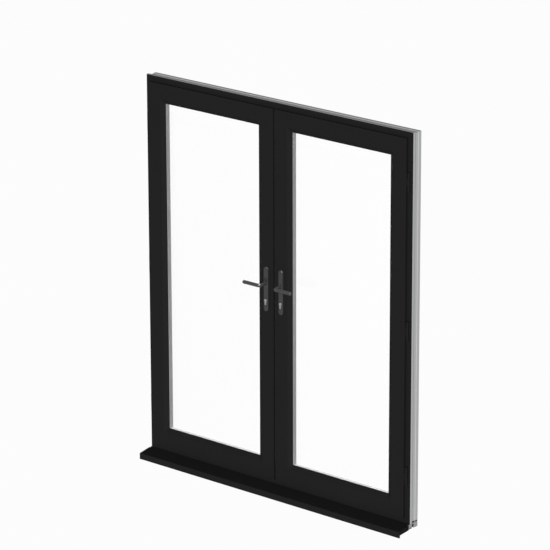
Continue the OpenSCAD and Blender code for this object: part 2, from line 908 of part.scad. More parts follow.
frame_member(TOP);  // frame_head
frame_member(LEFT);  // frame_left_jamb
frame_member(RIGHT);  // frame_right_jamb
frame_member(BOTTOM);  // frame_bottom_rail
frame_steels();
frame_gasket();
bolt_keeps();
cill();
cill_end_caps();
frame_hinge_leaves();
hinge_pins();
for (right = [false, true]) {
    leaf = right ? "right" : "left";
    sash_member(right, LEFT);
    sash_member(right, RIGHT);
    sash_member(right, TOP);
    sash_member(right, BOTTOM);
    sash_steels(right);
    weather_seal(right);
    sash_hinges(right);
    pane(right, glass_y);
    pane(right, inner_pane_y);
    spacer_bar(right);
    setting_blocks(right);
    glazing_gaskets(right);
    glazing_beads(right);
    lock_case(right);
    lock_faceplate(right);
    lock_cylinder(right);
    handle_backplate(right, false);
    handle_backplate(right, true);
    outer_lever(right);
    inner_turn(right);
    spindle(right);
    top_bolt(right);
    bottom_bolt(right);
}
meeting_profile();  // right_meeting_profile
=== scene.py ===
# %% [markdown]
# # A pair of french doors, dressed for a studio picture
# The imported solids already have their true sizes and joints. This lesson gives them their looks: a camera,
# soft light, finishes that are worked out from the surface itself, and the small pieces that show when one
# walks up to the doors, such as screw heads, key plugs and seals. Nothing here moves a solid: each new piece
# takes its place from the box of a solid that carries it.

# %% Load the solids
import json
import math

import bpy
from mathutils import Matrix, Vector


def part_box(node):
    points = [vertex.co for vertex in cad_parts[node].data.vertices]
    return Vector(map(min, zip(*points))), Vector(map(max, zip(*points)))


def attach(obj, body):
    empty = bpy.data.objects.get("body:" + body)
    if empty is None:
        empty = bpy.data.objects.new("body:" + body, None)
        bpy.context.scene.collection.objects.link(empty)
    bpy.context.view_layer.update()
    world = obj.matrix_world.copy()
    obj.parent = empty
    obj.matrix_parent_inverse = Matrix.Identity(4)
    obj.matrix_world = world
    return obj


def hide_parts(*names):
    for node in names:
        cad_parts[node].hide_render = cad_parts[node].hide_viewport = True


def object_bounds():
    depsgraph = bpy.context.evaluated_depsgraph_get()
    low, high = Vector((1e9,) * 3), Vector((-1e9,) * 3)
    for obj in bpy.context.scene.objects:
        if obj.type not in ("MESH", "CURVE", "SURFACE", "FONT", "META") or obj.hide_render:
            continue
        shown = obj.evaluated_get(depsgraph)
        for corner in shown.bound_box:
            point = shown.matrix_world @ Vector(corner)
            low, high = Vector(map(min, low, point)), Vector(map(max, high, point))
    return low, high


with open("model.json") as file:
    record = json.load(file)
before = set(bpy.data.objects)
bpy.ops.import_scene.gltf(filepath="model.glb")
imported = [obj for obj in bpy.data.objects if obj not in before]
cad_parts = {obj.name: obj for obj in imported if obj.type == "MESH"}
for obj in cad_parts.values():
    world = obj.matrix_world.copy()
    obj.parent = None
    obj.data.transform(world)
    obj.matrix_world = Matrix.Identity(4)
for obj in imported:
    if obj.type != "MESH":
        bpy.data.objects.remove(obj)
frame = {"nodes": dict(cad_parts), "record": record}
cad_low, cad_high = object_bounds()
MM = 0.001
LEAVES = ("left", "right")
print("solids", len(frame["nodes"]), "overall size", [round(v, 4) for v in cad_high - cad_low])

# %% [markdown]
# ## The camera
# The picture was taken from far off with a long lens, from the right and a little above. The angles, the
# distance and the focal length were worked out from the straight edges of the frame, so the camera is built
# from those numbers. A tracking constraint would be quicker to write, but it couldn't hold the small roll.

# %% Camera
PICTURE_SIDE = 550
FOCAL_LENGTH_PX = 3684
SENSOR_WIDTH = 36.0
AZIMUTH = math.radians(40.12)
ELEVATION = math.radians(18.05)
ROLL = math.radians(-0.162)
LOOK_AT = Vector((-0.0113, 0.0, 1.1937))
DISTANCE = 19.217
FARTHEST = 300


def build_camera():
    forward = Vector((-math.sin(AZIMUTH) * math.cos(ELEVATION),
                      math.cos(AZIMUTH) * math.cos(ELEVATION),
                      -math.sin(ELEVATION)))
    level = Vector((math.cos(AZIMUTH), math.sin(AZIMUTH), 0))
    above = level.cross(forward)
    right = math.cos(ROLL) * level + math.sin(ROLL) * above
    up = math.cos(ROLL) * above - math.sin(ROLL) * level
    lens = bpy.data.cameras.new("studio_camera")
    lens.sensor_width = SENSOR_WIDTH
    lens.lens = FOCAL_LENGTH_PX / PICTURE_SIDE * SENSOR_WIDTH
    lens.clip_end = FARTHEST
    camera = bpy.data.objects.new("studio_camera", lens)
    turn = Matrix((right, up, -forward)).transposed().to_4x4()
    camera.matrix_world = Matrix.Translation(LOOK_AT - DISTANCE * forward) @ turn
    bpy.context.scene.collection.objects.link(camera)
    bpy.context.scene.camera = camera
    return lens


print("lens", round(build_camera().lens, 1), "mm")

# %% [markdown]
# ## Nodes, written once
# Shader trees need many small nodes. A few short helpers keep the rest of the lesson readable: one adds a
# node and fills its inputs, with a plain value or with a wire from another node, and one starts a node group
# with named sockets, so that several finishes can share an effect.

# %% Node helpers
MIX_SOCKETS = {"FLOAT": (2, 3, 0), "VECTOR": (4, 5, 1), "RGBA": (6, 7, 2)}


def add(tree, kind, inputs=None, **settings):
    made = tree.nodes.new("ShaderNode" + kind)
    for name, value in settings.items():
        setattr(made, name, value)
    for socket, value in (inputs or {}).items():
        if isinstance(value, bpy.types.NodeSocket):
            tree.links.new(value, made.inputs[socket])
        else:
            made.inputs[socket].default_value = value
    return made


def sum_up(tree, operation, first, second):
    return add(tree, "Math", {0: first, 1: second}, operation=operation).outputs[0]


def absolute(tree, value):
    return add(tree, "Math", {0: value}, operation="ABSOLUTE").outputs[0]


def spread(tree, value, limits):
    low, high = limits
    return add(tree, "MapRange", {"Value": value, "To Min": low, "To Max": high}).outputs["Result"]


def mix(tree, kind, factor, first, second):
    """The Mix node keeps two inputs and an output for each kind of value."""
    first_in, second_in, out = MIX_SOCKETS[kind]
    made = add(tree, "Mix", {0: factor, first_in: first, second_in: second}, data_type=kind)
    return made.outputs[out]


def grey(level, tint=(1.0, 1.0, 1.0)):
    return (*[level * t for t in tint], 1.0)


def start_group(name, inputs, outputs):
    """A group tree with sockets given as name: kind, and its inner ends."""
    tree = bpy.data.node_groups.new(name, "ShaderNodeTree")
    for in_out, sockets in (("INPUT", inputs), ("OUTPUT", outputs)):
        for label, kind in sockets.items():
            tree.interface.new_socket(label, in_out=in_out, socket_type="NodeSocket" + kind)
    return tree, tree.nodes.new("NodeGroupInput").outputs, tree.nodes.new("NodeGroupOutput").inputs


def use(tree, group, **inputs):
    made = tree.nodes.new("ShaderNodeGroup")
    made.node_tree = group
    for label, value in inputs.items():
        socket = made.inputs[label.replace("_", " ")]
        if isinstance(value, bpy.types.NodeSocket):
            tree.links.new(value, socket)
        else:
            socket.default_value = value
    return made.outputs


print("helpers for", len(MIX_SOCKETS), "kinds of mix")

# %% [markdown]
# ## A white studio
# The doors stand on a seamless white floor in a white room. A white room would also wash over the dark foil,
# so the white is kept for the eye: the Light Path node tells a ray that comes straight from the camera, or
# through the glass, from one that has bounced. Bounced rays see an almost dark room and a floor that glows
# dimly, which lifts what faces down a little.

# %% Floor and room
EYE_WHITE = 0.976
THROUGH_GLASS = 1.095
ROOM_DIM = 0.03
FLOOR_GLOW = 0.37
FLOOR_RADIUS = 60.0
FLOOR_SIDES = 96
FLOOR_MOTTLE = (0.0, 0.004)
MOTTLE_SCALE = 0.7
MOTTLE_DETAIL = 3.0
UNDER_ONE_BOUNCE = 0.5


def eye_white(tree):
    """White for a ray that has only met glass, and brighter there, as glass takes a share of it."""
    path = add(tree, "LightPath").outputs
    behind = sum_up(tree, "MULTIPLY", path["Is Transmission Ray"], THROUGH_GLASS - EYE_WHITE)
    seen = sum_up(tree, "MAXIMUM", path["Is Camera Ray"], path["Is Transmission Ray"])
    for bounces in ("Diffuse Depth", "Glossy Depth"):
        seen = sum_up(tree, "MULTIPLY", seen, sum_up(tree, "LESS_THAN", path[bounces], UNDER_ONE_BOUNCE))
    return seen, sum_up(tree, "ADD", behind, EYE_WHITE)


def build_room():
    world = bpy.data.worlds.new("white_room")
    world.use_nodes = True
    tree = world.node_tree
    tree.nodes.clear()
    seen, white = eye_white(tree)
    dim = add(tree, "Background", {"Color": grey(1.0), "Strength": ROOM_DIM})
    bright = add(tree, "Background", {"Color": grey(1.0), "Strength": white})
    both = add(tree, "MixShader", {0: seen, 1: dim.outputs[0], 2: bright.outputs[0]})
    add(tree, "OutputWorld", {"Surface": both.outputs[0]})
    bpy.context.scene.world = world


def build_floor():
    paint = bpy.data.materials.new("pale_floor")
    paint.use_nodes = True
    tree = paint.node_tree
    tree.nodes.clear()
    place = add(tree, "TexCoord").outputs["Object"]
    mottle = add(tree, "TexNoise", {"Vector": place, "Scale": MOTTLE_SCALE, "Detail": MOTTLE_DETAIL})
    seen, white = eye_white(tree)
    white = sum_up(tree, "SUBTRACT", white, spread(tree, mottle.outputs["Fac"], FLOOR_MOTTLE))
    strength = mix(tree, "FLOAT", seen, FLOOR_GLOW, white)
    glow = add(tree, "Emission", {"Color": grey(1.0), "Strength": strength})
    add(tree, "OutputMaterial", {"Surface": glow.outputs[0]})
    paint.cycles.emission_sampling = "NONE"
    rim = [(FLOOR_RADIUS * math.cos(a), FLOOR_RADIUS * math.sin(a), cad_low.z)
           for a in (2 * math.pi * i / FLOOR_SIDES for i in range(FLOOR_SIDES))]
    mesh = bpy.data.meshes.new("floor")
    mesh.from_pydata(rim, [], [range(FLOOR_SIDES)])
    mesh.materials.append(paint)
    floor = bpy.data.objects.new("floor", mesh)
    bpy.context.scene.collection.objects.link(floor)


build_room()
build_floor()
print("floor at", round(cad_low.z, 4))

# %% [markdown]
# ## Three soft lamps
# The picture is lit from close to the camera: the face is brightest, the right side takes over half of that
# and the top about a third. Sun lamps give that even light over a tall object, where a near panel lamp would
# brighten one end. A second lamp behind the doors lights the room side, which the first one never reaches.
# The third comes from above, and light linking keeps it to a few pieces: the ledges under the glass, the
# levers and their plates. Shadow linking lets a lamp pass some solids, so that the levers throw no hard
# shadow on their plates and the members above don't stop the light from above.

# %% Lamps
KEY_FROM = Vector((0.465, -0.798, 0.296))
KEY_STRENGTH = 2.57
KEY_SOFTNESS = math.radians(8)
KEY_PASSES = ("outer_lever",)
BACK_FROM = Vector((-0.45, 0.89, -0.10))
BACK_STRENGTH = 2.0
BACK_SOFTNESS = math.radians(40)
LEDGE_FROM = Vector((0.0, 0.12, 0.99))
LEDGE_STRENGTH = 6.0
LEDGE_SOFTNESS = math.radians(12)
LEDGE_PASSES = ("lock_stile", "top_rail", "frame_head")
LEDGES = ("spacer_bar", "glazing_gaskets", "outer_lever", "outer_backplate")


def add_lamp(name, from_where, strength, softness):
    lamp = bpy.data.lights.new(name, "SUN")
    lamp.energy = strength
    lamp.angle = softness
    lamp.cycles.use_multiple_importance_sampling = False
    holder = bpy.data.objects.new(name, lamp)
    holder.rotation_mode = "QUATERNION"
    holder.rotation_quaternion = from_where.to_track_quat("Z", "Y")
    bpy.context.scene.collection.objects.link(holder)
    return holder


def solids_named(group, endings):
    """A collection of the solids whose names end in one of the given words."""
    made = bpy.data.collections.new(group)
    for name, solid in frame["nodes"].items():
        if name.endswith(endings):
            made.objects.link(solid)
    return made


def pass_through(lamp, endings):
    """Lets a lamp shine through some solids, which then throw no shadow in its light."""
    passed = solids_named(f"{lamp.name}_passes", endings)
    for entry in passed.collection_objects:
        entry.light_linking.link_state = "EXCLUDE"
    lamp.light_linking.blocker_collection = passed


key_lamp = add_lamp("key_lamp", KEY_FROM, KEY_STRENGTH, KEY_SOFTNESS)
pass_through(key_lamp, KEY_PASSES)
add_lamp("back_lamp", BACK_FROM, BACK_STRENGTH, BACK_SOFTNESS).visible_glossy = False
ledge_lamp = add_lamp("ledge_lamp", LEDGE_FROM, LEDGE_STRENGTH, LEDGE_SOFTNESS)
pass_through(ledge_lamp, LEDGE_PASSES)
lit_ledges = solids_named("lit_ledges", LEDGES)
ledge_lamp.light_linking.receiver_collection = lit_ledges
bpy.context.scene.view_settings.view_transform = "Standard"

# %% [markdown]
# ## Shared effects
# Plastic profiles are pushed through a die, so they carry faint lines along their length. Their outer faces
# are wrapped in an embossed foil. Metal parts are brushed, and everything that hands touch has a slow change
# of gloss. Each effect is one node group that gives a mask or a height, and each finish sets its amounts.

# %% Effect groups
DRIFT_DETAIL = 4.0
DRIFT_CONTRAST = (-0.5, 1.5)
EMBOSS_DETAIL = 3.0
EMBOSS_FINE_SHARE = 0.6
LINE_DETAIL = 5.0
LINE_ROUGHNESS = 0.65
LINE_STRETCH = (1.0, 1.0, 0.004)
PLACE_AND_SCALE = {"Vector": "Vector", "Scale": "Float"}


def build_drift():
    """A slow, cloudy change over the surface."""
    tree, inside, out = start_group("slow_drift", PLACE_AND_SCALE, {"Value": "Float"})
    cloud = add(tree, "TexNoise", {"Vector": inside["Vector"], "Scale": inside["Scale"],
                                   "Detail": DRIFT_DETAIL})
    tree.links.new(spread(tree, cloud.outputs["Fac"], DRIFT_CONTRAST), out["Value"])
    return tree


def build_emboss():
    """Fine pebbled grain of a pressed foil or a moulded skin."""
    tree, inside, out = start_group("fine_emboss", PLACE_AND_SCALE, {"Height": "Float"})
    where = {"Vector": inside["Vector"], "Scale": inside["Scale"]}
    cells = add(tree, "TexVoronoi", where, feature="SMOOTH_F1").outputs["Distance"]
    fine = add(tree, "TexNoise", {**where, "Detail": EMBOSS_DETAIL}).outputs["Fac"]
    fine = sum_up(tree, "MULTIPLY", fine, EMBOSS_FINE_SHARE)
    tree.links.new(sum_up(tree, "ADD", cells, fine), out["Height"])
    return tree


def build_lines():
    """Fine lines that run along the third axis of the vector that comes in."""
    tree, inside, out = start_group("drawn_lines", {"Along": "Vector", "Scale": "Float"}, {"Value": "Float"})
    squeezed = add(tree, "VectorMath", {0: inside["Along"], 1: LINE_STRETCH}, operation="MULTIPLY")
    lines = add(tree, "TexNoise", {"Vector": squeezed.outputs[0], "Scale": inside["Scale"],
                                   "Detail": LINE_DETAIL, "Roughness": LINE_ROUGHNESS})
    tree.links.new(lines.outputs["Fac"], out["Value"])
    return tree


def build_run():
    """The length of a mitred rectangle's members, and the weld line where two of them meet."""
    sizes = ("Centre X", "Centre Z", "Half Width", "Half Height", "Weld")
    tree, inside, out = start_group("mitred_run", {"Vector": "Vector", **dict.fromkeys(sizes, "Float")},
                                    {"Along": "Vector", "Weld": "Float"})
    axes = add(tree, "SeparateXYZ", {0: inside["Vector"]}).outputs
    reach = []
    for axis, middle, half in (("X", "Centre X", "Half Width"), ("Z", "Centre Z", "Half Height")):
        away = absolute(tree, sum_up(tree, "SUBTRACT", axes[axis], inside[middle]))
        reach.append(sum_up(tree, "SUBTRACT", inside[half], away))
    gap = sum_up(tree, "SUBTRACT", *reach)
    level = sum_up(tree, "GREATER_THAN", gap, 0.0)
    upright_run = add(tree, "CombineXYZ", {0: axes["X"], 1: axes["Y"], 2: axes["Z"]}).outputs[0]
    level_run = add(tree, "CombineXYZ", {0: axes["Z"], 1: axes["Y"], 2: axes["X"]}).outputs[0]
    tree.links.new(mix(tree, "VECTOR", level, upright_run, level_run), out["Along"])
    tree.links.new(sum_up(tree, "LESS_THAN", absolute(tree, gap), inside["Weld"]), out["Weld"])
    return tree


def build_spangle():
    """Crystals of a zinc coat, each with its own tone."""
    tree, inside, out = start_group("zinc_spangle", PLACE_AND_SCALE, {"Tone": "Float"})
    cells = add(tree, "TexVoronoi", {"Vector": inside["Vector"], "Scale": inside["Scale"]})
    tone = add(tree, "SeparateXYZ", {0: cells.outputs["Color"]}).outputs["X"]
    tree.links.new(tone, out["Tone"])
    return tree


SLOW_DRIFT = build_drift()
FINE_EMBOSS = build_emboss()
DRAWN_LINES = build_lines()
MITRED_RUN = build_run()
ZINC_SPANGLE = build_spangle()
print("effect groups", len(bpy.data.node_groups))

# %% [markdown]
# ## Foiled plastic profiles
# Each member is light grey plastic, and only what faces the weather is wrapped in dark foil. The real wrap
# ends just round the corner, so the finish asks how deep a point lies behind the outer face, in the piece's
# own coordinates: they ride with the leaf when it swings. Where the two leaves meet, the wrap goes further
# round. The weld at a mitre is a hair line, found from the rectangle's own size.

# %% Foil finish
FOIL_TONES = grey(0.0168), grey(0.0184)
BODY_TINT = (0.99, 1.0, 1.0)
BODY_TONES = grey(0.650, BODY_TINT), grey(0.695, BODY_TINT)
WELD_TONE = grey(0.012)
WELD_SHARE = 0.35
WELD_HALF = 0.15 * MM
FRAME_FOIL_END = 0.6 * MM
LEAF_FOIL_END = -3.4 * MM
# At the frame's foot and on the cill, the dark reaches 4 mm behind the face. This is partly the foil's wrap
# and partly painted shade in the gap where the frame sits on the cill.
FOOT_FOIL_AND_SHADE_END = 4.0 * MM
MEETING_REACH = 20.0 * MM
MEETING_FOIL_END = 8.0 * MM
FOIL_SPECULAR = 0.03
FOIL_GLOSS = (0.54, 0.62)
BODY_GLOSS = (0.48, 0.60)
FOIL_DRIFT_SCALE = 3.0
FOIL_GRAIN_SCALE = 1400.0
PROFILE_LINE_SCALE = 900.0
LINE_HEIGHT = 0.5
FOIL_RELIEF = {"depth": 0.05 * MM, "strength": 0.35}


def start_material(name):
    made = bpy.data.materials.new(name)
    made.use_nodes = True
    tree = made.node_tree
    tree.nodes.clear()
    surface = add(tree, "BsdfPrincipled")
    add(tree, "OutputMaterial", {"Surface": surface.outputs["BSDF"]})
    return made, tree, surface, add(tree, "TexCoord").outputs["Object"]


def colour_and_gloss(tree, surface, colour, gloss):
    tree.links.new(colour, surface.inputs["Base Color"])
    tree.links.new(gloss, surface.inputs["Roughness"])


def bump(tree, surface, height, depth, strength):
    raised = add(tree, "Bump", {"Height": height, "Distance": depth, "Strength": strength})
    tree.links.new(raised.outputs["Normal"], surface.inputs["Normal"])


def rectangle_of(nodes):
    """Middle and half sizes of a rectangle of profiles, seen from the front."""
    lows, highs = zip(*[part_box(n) for n in nodes])
    low = Vector([min(v[i] for v in lows) for i in range(3)])
    high = Vector([max(v[i] for v in highs) for i in range(3)])
    middle, half = (low + high) / 2, (high - low) / 2
    return {"Centre_X": middle.x, "Centre_Z": middle.z, "Half_Width": half.x, "Half_Height": half.z}


def foil_mask(tree, place, foil_end, meets):
    axes = add(tree, "SeparateXYZ", {0: place}).outputs
    outside = sum_up(tree, "LESS_THAN", axes["Y"], foil_end)
    if not meets:
        return outside
    near_middle = sum_up(tree, "LESS_THAN", absolute(tree, axes["X"]), MEETING_REACH)
    in_reach = sum_up(tree, "LESS_THAN", axes["Y"], MEETING_FOIL_END)
    return sum_up(tree, "MAXIMUM", outside, sum_up(tree, "MULTIPLY", near_middle, in_reach))


def foiled(name, rectangle, foil_end, meets=False):
    made, tree, surface, place = start_material(name)
    run = use(tree, MITRED_RUN, Vector=place, Weld=WELD_HALF, **rectangle)
    lines = use(tree, DRAWN_LINES, Along=run["Along"], Scale=PROFILE_LINE_SCALE)["Value"]
    cloud = use(tree, SLOW_DRIFT, Vector=place, Scale=FOIL_DRIFT_SCALE)["Value"]
    grain = use(tree, FINE_EMBOSS, Vector=place, Scale=FOIL_GRAIN_SCALE)["Height"]
    outside = foil_mask(tree, place, foil_end, meets)
    foil = mix(tree, "RGBA", cloud, *FOIL_TONES)
    body = mix(tree, "RGBA", lines, *BODY_TONES)
    weld = sum_up(tree, "MULTIPLY", run["Weld"], WELD_SHARE)
    colour = mix(tree, "RGBA", weld, mix(tree, "RGBA", outside, body, foil), WELD_TONE)
    gloss = mix(tree, "FLOAT", outside, spread(tree, lines, BODY_GLOSS), spread(tree, cloud, FOIL_GLOSS))
    colour_and_gloss(tree, surface, colour, gloss)
    surface.inputs["Specular IOR Level"].default_value = FOIL_SPECULAR
    relief = mix(tree, "FLOAT", outside, sum_up(tree, "MULTIPLY", lines, LINE_HEIGHT), grain)
    bump(tree, surface, sum_up(tree, "SUBTRACT", relief, run["Weld"]), **FOIL_RELIEF)
    return made


def leaf_members(leaf):
    return [f"{leaf}_{n}" for n in ("hinge_stile", "lock_stile", "top_rail", "bottom_rail")]


FRAME_MEMBERS = ["frame_head", "frame_left_jamb", "frame_right_jamb", "frame_bottom_rail"]
foil_of = {
    "frame": foiled("foil_frame", rectangle_of(FRAME_MEMBERS), FRAME_FOIL_END),
    # The foot and the cill take a deeper dark band: foil, and painted shade where the frame meets the cill.
    "foot": foiled("foil_and_shade_frame_foot", rectangle_of(FRAME_MEMBERS), FOOT_FOIL_AND_SHADE_END),
    "cill": foiled("foil_and_shade_cill", rectangle_of(["cill"]), FOOT_FOIL_AND_SHADE_END),
}
for leaf in LEAVES:
    foil_of[leaf] = foiled(f"foil_{leaf}_leaf", rectangle_of(leaf_members(leaf)), LEAF_FOIL_END, meets=True)
print("foiled finishes", sorted(foil_of))

# %% [markdown]
# ## Plain plastics and rubber
# The end caps are moulded in one piece and painted dark where they show from the front, so a mask picks the
# foil's tone there and a duller grey under the frame. The beads are bare grey profile. Seals are matt rubber
# with a dusty bloom, and the gaskets that hold the glass are grey to suit the pale body around them. Rubber
# and packers are one recipe with other amounts: tone and gloss drift slowly, over a fine grain.

# %% Plastic and rubber finishes
CAP_TONES = grey(0.45), grey(0.53)
CAP_DARK_END = -15.0 * MM
CAP_SKIN_Z = 26.0 * MM
CAP_DRIFT_SCALE = 20.0
CAP_GRAIN_SCALE = 1500.0
CAP_RELIEF = {"depth": 0.04 * MM, "strength": 0.3}
BEAD_DRIFT_SCALE = 6.0
BEAD_GLOSS = (0.36, 0.50)
BEAD_RELIEF = {"depth": 0.03 * MM, "strength": 0.3}
RUBBER_GRAIN_SCALE = 2500.0
RUBBER_RELIEF = {"depth": 0.05 * MM, "strength": 0.5}
PLAIN_SPECULAR = 0.5


def moulded_caps():
    made, tree, surface, place = start_material("moulded_caps")
    axes = add(tree, "SeparateXYZ", {0: place}).outputs
    cloud = use(tree, SLOW_DRIFT, Vector=place, Scale=CAP_DRIFT_SCALE)["Value"]
    nose = sum_up(tree, "LESS_THAN", axes["Y"], CAP_DARK_END)
    skin = sum_up(tree, "MULTIPLY", sum_up(tree, "GREATER_THAN", axes["Z"], CAP_SKIN_Z),
                  sum_up(tree, "LESS_THAN", axes["Y"], 0.0))
    dark = mix(tree, "RGBA", cloud, *FOIL_TONES)
    pale = mix(tree, "RGBA", cloud, *CAP_TONES)
    colour = mix(tree, "RGBA", sum_up(tree, "MAXIMUM", nose, skin), pale, dark)
    colour_and_gloss(tree, surface, colour, spread(tree, cloud, BODY_GLOSS))
    surface.inputs["Specular IOR Level"].default_value = FOIL_SPECULAR
    grain = use(tree, FINE_EMBOSS, Vector=place, Scale=CAP_GRAIN_SCALE)["Height"]
    bump(tree, surface, grain, **CAP_RELIEF)
    return made


def bare_profile():
    made, tree, surface, place = start_material("bare_grey_profile")
    lines = use(tree, DRAWN_LINES, Along=place, Scale=PROFILE_LINE_SCALE)["Value"]
    cloud = use(tree, SLOW_DRIFT, Vector=place, Scale=BEAD_DRIFT_SCALE)["Value"]
    colour_and_gloss(tree, surface, mix(tree, "RGBA", cloud, *BODY_TONES), spread(tree, lines, BEAD_GLOSS))
    bump(tree, surface, lines, **BEAD_RELIEF)
    return made


def drifting(name, tones, gloss, drift_scale, grain_scale, relief, specular=PLAIN_SPECULAR, metallic=0.0):
    """A coat whose tone and gloss drift slowly, with a fine grain where relief is given."""
    made, tree, surface, place = start_material(name)
    cloud = use(tree, SLOW_DRIFT, Vector=place, Scale=drift_scale)["Value"]
    colour_and_gloss(tree, surface, mix(tree, "RGBA", cloud, *tones), spread(tree, cloud, gloss))
    surface.inputs["Specular IOR Level"].default_value = specular
    surface.inputs["Metallic"].default_value = metallic
    if relief:
        grain = use(tree, FINE_EMBOSS, Vector=place, Scale=grain_scale)["Height"]
        bump(tree, surface, grain, **relief)
    return made


finish = {
    "end_cap_plastic": moulded_caps(),
    "grey_profile": bare_profile(),
    "gasket_rubber": drifting("seal_rubber", tones=(grey(0.010), grey(0.022)), gloss=(0.62, 0.80),
                              drift_scale=60.0, grain_scale=RUBBER_GRAIN_SCALE, relief=RUBBER_RELIEF),
    "glazing_rubber": drifting("glazing_rubber", tones=(grey(0.44), grey(0.54)), gloss=(0.60, 0.75),
                               drift_scale=60.0, grain_scale=RUBBER_GRAIN_SCALE, relief=RUBBER_RELIEF),
    "block_plastic": drifting("packer_plastic", tones=(grey(0.02), grey(0.05)), gloss=(0.50, 0.65),
                              drift_scale=40.0, grain_scale=None, relief=None),
}
print("plastics", sorted(finish))

# %% [markdown]
# ## Metals
# The handles are coated in a dark satin graphite. The levers take the same coat in a lighter tone than
# their plates: painted light, for the light their bends and tops catch from above. The lock cylinder is
# nickel, brushed across. The spacer between the panes is painted, so it is hardly metallic.
# Steel that shows only when a leaf is open is plain zinc or satin bright. The gloss of each one follows fine
# lines, crystals or the slow drift, because perfectly even metal is what gives a stand-in away.

# %% Metal finishes
GRAPHITE = (0.98, 1.0, 1.02)
PLATE_TONES = grey(0.080, GRAPHITE), grey(0.100, GRAPHITE)
# Painted light: the levers' tones are lighter than the plates' for the light they catch, not for another
# coat.
LEVER_PAINTED_LIGHT_TONES = grey(0.105, GRAPHITE), grey(0.135, GRAPHITE)
HANDLE_COAT = {"gloss": (0.20, 0.27), "drift_scale": 45.0, "grain_scale": 3200.0, "metallic": 0.55,
               "relief": {"depth": 0.02 * MM, "strength": 0.25}}
HINGE_COAT = {"gloss": (0.48, 0.58), "drift_scale": 35.0, "grain_scale": 900.0, "specular": FOIL_SPECULAR,
              "relief": {"depth": 0.03 * MM, "strength": 0.35}}
BRUSH_DRIFT_SCALE = 30.0
BRUSH_RELIEF = {"depth": 0.02 * MM, "strength": 0.3}
SPANGLE_SCALE = 140.0
SPANGLE_TONES = grey(0.36), grey(0.55)
SPANGLE_GLOSS = (0.32, 0.55)


def brushed(name, tones, gloss, line_scale, metallic=1.0):
    made, tree, surface, place = start_material(name)
    lines = use(tree, DRAWN_LINES, Along=place, Scale=line_scale)["Value"]
    cloud = use(tree, SLOW_DRIFT, Vector=place, Scale=BRUSH_DRIFT_SCALE)["Value"]
    colour_and_gloss(tree, surface, mix(tree, "RGBA", cloud, *tones), spread(tree, lines, gloss))
    surface.inputs["Metallic"].default_value = metallic
    bump(tree, surface, lines, **BRUSH_RELIEF)
    return made


def galvanised():
    made, tree, surface, place = start_material("galvanised_steel")
    tone = use(tree, ZINC_SPANGLE, Vector=place, Scale=SPANGLE_SCALE)["Tone"]
    colour = mix(tree, "RGBA", tone, *SPANGLE_TONES)
    colour_and_gloss(tree, surface, colour, spread(tree, tone, SPANGLE_GLOSS))
    surface.inputs["Metallic"].default_value = 1.0
    return made


finish.update({
    "handle_metal": drifting("graphite_handle_coat", PLATE_TONES, **HANDLE_COAT),
    # The plates' coat in a lighter tone, as painted light on the levers.
    "lever_metal": drifting("graphite_lever_coat_painted_light", LEVER_PAINTED_LIGHT_TONES, **HANDLE_COAT),
    "lock_steel": brushed("satin_lock_steel", tones=(grey(0.48), grey(0.60)), gloss=(0.24, 0.40),
                          line_scale=1500.0),
    "cylinder_metal": brushed("satin_nickel", tones=(grey(0.42), grey(0.50)), gloss=(0.30, 0.44),
                              line_scale=2500.0, metallic=0.5),
    "galvanised_steel": galvanised(),
    "hinge_metal": drifting("dark_hinge_coat", FOIL_TONES, **HINGE_COAT),
    "spacer": brushed("spacer_metal", tones=(grey(0.48), grey(0.54)), gloss=(0.42, 0.58),
                      line_scale=1800.0, metallic=0.15),
})
print("plain finishes", len(finish))

# %% [markdown]
# ## Glass
# A pane is clear, with the green of its thickness only at the cut edge, which is ground and so less smooth.
# Light from the lamps has to reach the room side through it. Cycles treats glass as a solid thing in a
# shadow test, so the Light Path node swaps the pane for a clear one there, and for light that has bounced.
# The eye still sees true glass.

# %% Glass finish
PANE_EDGE = 1.0 * MM
GLASS_TONES = (1.0, 1.0, 1.0, 1.0), (0.62, 0.86, 0.76, 1.0)
GLASS_GLOSS = (0.0, 0.35)
GLASS_SHADE = 0.927
GLASS_IOR = 1.45


def pane_glass(leaf):
    made, tree, surface, place = start_material(f"pane_glass_{leaf}")
    low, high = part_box(f"{leaf}_outer_pane")
    middle, half = (low + high) / 2, (high - low) / 2
    axes = add(tree, "SeparateXYZ", {0: place}).outputs
    edges = []
    for axis, centre, reach in (("X", middle.x, half.x), ("Z", middle.z, half.z)):
        away = absolute(tree, sum_up(tree, "SUBTRACT", axes[axis], centre))
        edges.append(sum_up(tree, "GREATER_THAN", away, reach - PANE_EDGE))
    cut = sum_up(tree, "MAXIMUM", *edges)
    colour_and_gloss(tree, surface, mix(tree, "RGBA", cut, *GLASS_TONES), spread(tree, cut, GLASS_GLOSS))
    surface.inputs["Transmission Weight"].default_value = 1.0
    surface.inputs["IOR"].default_value = GLASS_IOR
    clear = add(tree, "BsdfTransparent", {"Color": grey(GLASS_SHADE)})
    path = add(tree, "LightPath").outputs
    straight = sum_up(tree, "MAXIMUM", path["Is Shadow Ray"], path["Is Diffuse Ray"])
    both = add(tree, "MixShader", {0: straight, 1: surface.outputs["BSDF"], 2: clear.outputs[0]})
    out = next(n for n in tree.nodes if n.type == "OUTPUT_MATERIAL")
    tree.links.new(both.outputs[0], out.inputs["Surface"])
    return made


glass_of = {leaf: pane_glass(leaf) for leaf in LEAVES}
print("glass", sorted(glass_of))

# %% [markdown]
# ## Dress every solid
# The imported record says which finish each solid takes. Profiles and panes also depend on the rectangle they
# belong to, so their leaf picks the finish. The mesh is left as it is: only its material slot changes.

# %% Finishes on the solids
slot_of = {s["node"]: s["material_slot"] for s in frame["record"]["subparts"]}


